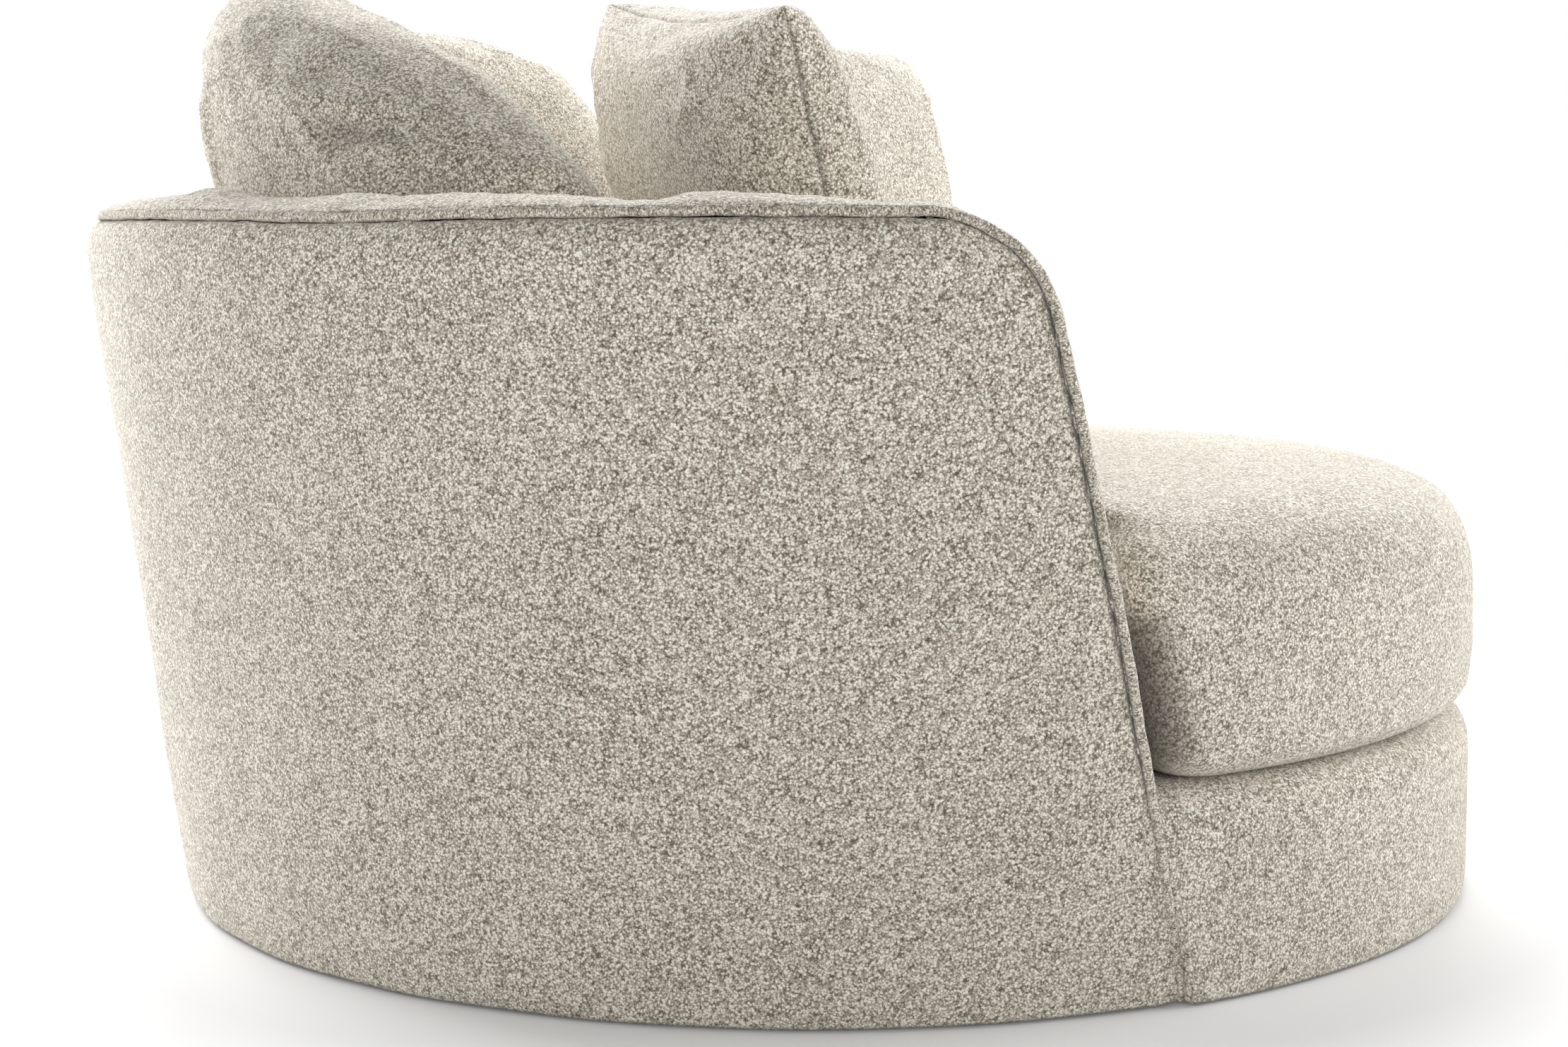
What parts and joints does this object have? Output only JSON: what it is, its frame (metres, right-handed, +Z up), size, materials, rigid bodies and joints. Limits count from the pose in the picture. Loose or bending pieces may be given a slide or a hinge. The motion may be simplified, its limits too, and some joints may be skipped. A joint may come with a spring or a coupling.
{
  "type": "swivel cuddle chair",
  "caption": "Large round swivel armchair: a tub back that wraps round a thick round seat cushion, with loose back pillows and square scatter pillows, on a hidden low swivel.",
  "frame": {"origin": "where the swivel axis meets the floor, on the underside of the floor pad", "axes": "+Z up along the swivel axis, +Y towards the middle of the back, so the chair faces -Y, and +X towards the sitter's left arm"},
  "size_m": [1.473, 1.4057, 0.9166],
  "materials": {
    "boucle": "chunky looped boucle, warm white and beige-grey",
    "foam": "open-cell foam",
    "fibre": "fibre filling in a thin ticking",
    "felt": "dense felt",
    "webbing": "woven elastic webbing",
    "dust_cloth": "thin non-woven cloth",
    "timber": "sawn, unfinished",
    "steel": "zinc plated, satin",
    "nylon": "moulded, matt",
    "zip_tape": "coil zip on woven tape"
  },
  "bodies": {
    "floor_base": {"floor_pad": "felt", "floor_disc": "timber", "lower_race": "steel", "ball_cage": "nylon", "lower_screw_1": "steel", "lower_screw_2": "steel", "lower_screw_3": "steel", "lower_screw_4": "steel"},
    "chair": {"upper_race": "steel", "upper_screw_1": "steel", "upper_screw_2": "steel", "upper_screw_3": "steel", "upper_screw_4": "steel", "base_panel": "timber", "seat_ring": "timber", "front_rail": "timber", "top_rail": "timber", "back_post_1": "timber", "back_post_2": "timber", "back_post_3": "timber", "back_post_4": "timber", "back_post_5": "timber", "back_post_6": "timber", "back_post_7": "timber", "right_arm_post": "timber", "left_arm_post": "timber", "seat_leg_1": "timber", "seat_leg_2": "timber", "seat_leg_3": "timber", "seat_leg_4": "timber", "seat_leg_5": "timber", "seat_leg_6": "timber", "long_strap_1": "webbing", "cross_strap_1": "webbing", "long_strap_2": "webbing", "cross_strap_2": "webbing", "long_strap_3": "webbing", "cross_strap_3": "webbing", "long_strap_4": "webbing", "cross_strap_4": "webbing", "deck_pad": "foam", "dust_cover": "dust_cloth", "outside_back": "boucle", "inside_back": "boucle", "front_border": "boucle", "welt": "boucle"},
    "seat_cushion": {"seat_cover": "boucle", "seat_core": "foam", "seat_zip": "zip_tape"},
    "right_back_pillow": {"right_back_pillow_cover": "boucle", "right_back_pillow_filling": "fibre"},
    "left_back_pillow": {"left_back_pillow_cover": "boucle", "left_back_pillow_filling": "fibre"},
    "right_scatter_pillow": {"right_scatter_pillow_cover": "boucle", "right_scatter_pillow_filling": "fibre"},
    "left_scatter_pillow": {"left_scatter_pillow_cover": "boucle", "left_scatter_pillow_filling": "fibre"}
  },
  "joints": [
    {"name": "swivel", "type": "hinge", "parent": "floor_base", "child": "chair", "pos_m": [0, 0, 0], "axis": [0, 0, 1], "continuous": true},
    {"name": "seat_cushion_lift", "type": "slide", "parent": "chair", "child": "seat_cushion", "axis": [0, 0, 1], "range_m": [0, 0.5]},
    {"name": "right_back_pillow_lift", "type": "slide", "parent": "seat_cushion", "child": "right_back_pillow", "axis": [0, 0, 1], "range_m": [0, 0.4]},
    {"name": "left_back_pillow_lift", "type": "slide", "parent": "seat_cushion", "child": "left_back_pillow", "axis": [0, 0, 1], "range_m": [0, 0.4]},
    {"name": "right_scatter_pillow_lift", "type": "slide", "parent": "seat_cushion", "child": "right_scatter_pillow", "axis": [0, 0, 1], "range_m": [0, 0.4]},
    {"name": "left_scatter_pillow_lift", "type": "slide", "parent": "seat_cushion", "child": "left_scatter_pillow", "axis": [0, 0, 1], "range_m": [0, 0.4]}
  ]
}
